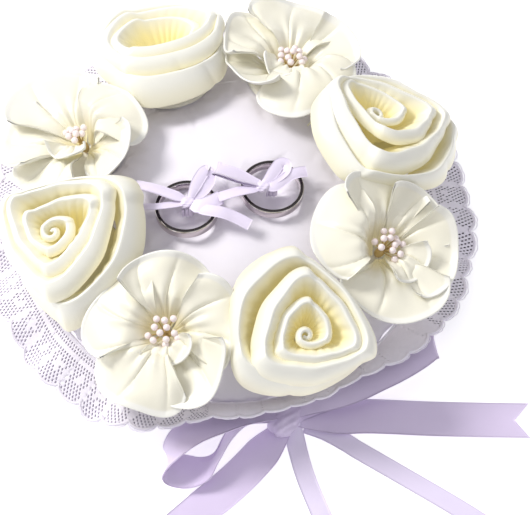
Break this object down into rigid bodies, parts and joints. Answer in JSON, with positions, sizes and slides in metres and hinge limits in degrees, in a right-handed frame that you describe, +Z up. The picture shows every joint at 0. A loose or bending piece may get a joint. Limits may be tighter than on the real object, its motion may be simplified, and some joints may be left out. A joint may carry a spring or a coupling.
{
  "type": "ring bearer pillow",
  "caption": "Round satin cushion with a gathered lace edge, a wreath of ribbon flowers, wedding rings tied down in the middle and a ribbon bow at the front.",
  "frame": {"origin": "centre of the cushion's flat underside", "axes": "+Z up out of the cushion; -Y towards the front, where the ribbon bow is; +X to the right seen from the front"},
  "size_m": [0.1895, 0.2184, 0.0514],
  "materials": {
    "pale_satin": "satin",
    "ivory_satin": "satin",
    "ivory_organza": "satin",
    "lilac_satin": "satin",
    "narrow_lilac": "satin",
    "lilac_tie": "satin",
    "lace_net": "matte",
    "felt": "matte",
    "fibrefill": "matte",
    "pearl": "gloss",
    "silver": "polished"
  },
  "bodies": {
    "pillow": {"blossom_1_backing": "felt", "blossom_1_inner_petal": "ivory_organza", "blossom_1_petal_1": "ivory_organza", "blossom_1_petal_2": "ivory_organza", "blossom_1_petal_3": "ivory_organza", "blossom_1_petal_4": "ivory_organza", "blossom_1_petal_5": "ivory_organza", "blossom_1_stamens": "pearl", "blossom_2_backing": "felt", "blossom_2_inner_petal": "ivory_organza", "blossom_2_petal_1": "ivory_organza", "blossom_2_petal_2": "ivory_organza", "blossom_2_petal_3": "ivory_organza", "blossom_2_petal_4": "ivory_organza", "blossom_2_petal_5": "ivory_organza", "blossom_2_stamens": "pearl", "blossom_3_backing": "felt", "blossom_3_inner_petal": "ivory_organza", "blossom_3_petal_1": "ivory_organza", "blossom_3_petal_2": "ivory_organza", "blossom_3_petal_3": "ivory_organza", "blossom_3_petal_4": "ivory_organza", "blossom_3_petal_5": "ivory_organza", "blossom_3_stamens": "pearl", "blossom_4_backing": "felt", "blossom_4_inner_petal": "ivory_organza", "blossom_4_petal_1": "ivory_organza", "blossom_4_petal_2": "ivory_organza", "blossom_4_petal_3": "ivory_organza", "blossom_4_petal_4": "ivory_organza", "blossom_4_petal_5": "ivory_organza", "blossom_4_stamens": "pearl", "bow_knot": "lilac_satin", "bow_left_loop": "lilac_satin", "bow_left_tail": "lilac_satin", "bow_right_loop": "lilac_satin", "bow_right_tail": "lilac_satin", "cushion_bottom_cover": "pale_satin", "cushion_filling": "fibrefill", "cushion_top_cover": "pale_satin", "lace_edging": "lace_net", "left_tie_stalk": "lilac_tie", "narrow_left_tail": "narrow_lilac", "narrow_right_tail": "narrow_lilac", "right_tie_stalk": "lilac_tie", "rose_1_backing": "felt", "rose_1_ribbon": "ivory_satin", "rose_2_backing": "felt", "rose_2_ribbon": "ivory_satin", "rose_3_backing": "felt", "rose_3_ribbon": "ivory_satin", "rose_4_backing": "felt", "rose_4_ribbon": "ivory_satin"},
    "left_bow": {"left_tie_bow": "lilac_tie"},
    "left_band": {"left_ring": "silver"},
    "right_bow": {"right_tie_bow": "lilac_tie"},
    "right_band": {"right_ring": "silver"}
  },
  "joints": [
    {"name": "left_ring_lift", "type": "slide", "parent": "pillow", "child": "left_bow", "axis": [-0.0397, 0.1191, 0.9921], "range_m": [0, 0.045]},
    {"name": "left_ring_spin", "type": "hinge", "parent": "left_bow", "child": "left_band", "pos_m": [-0.01415, -0.00804, 0.03734], "axis": [-0.0397, 0.1191, 0.9921], "continuous": true},
    {"name": "right_ring_lift", "type": "slide", "parent": "pillow", "child": "right_bow", "axis": [0.0497, 0.0994, 0.9938], "range_m": [0, 0.045]},
    {"name": "right_ring_spin", "type": "hinge", "parent": "right_bow", "child": "right_band", "pos_m": [0.01439, -0.00011, 0.03749], "axis": [0.0497, 0.0994, 0.9938], "continuous": true}
  ]
}
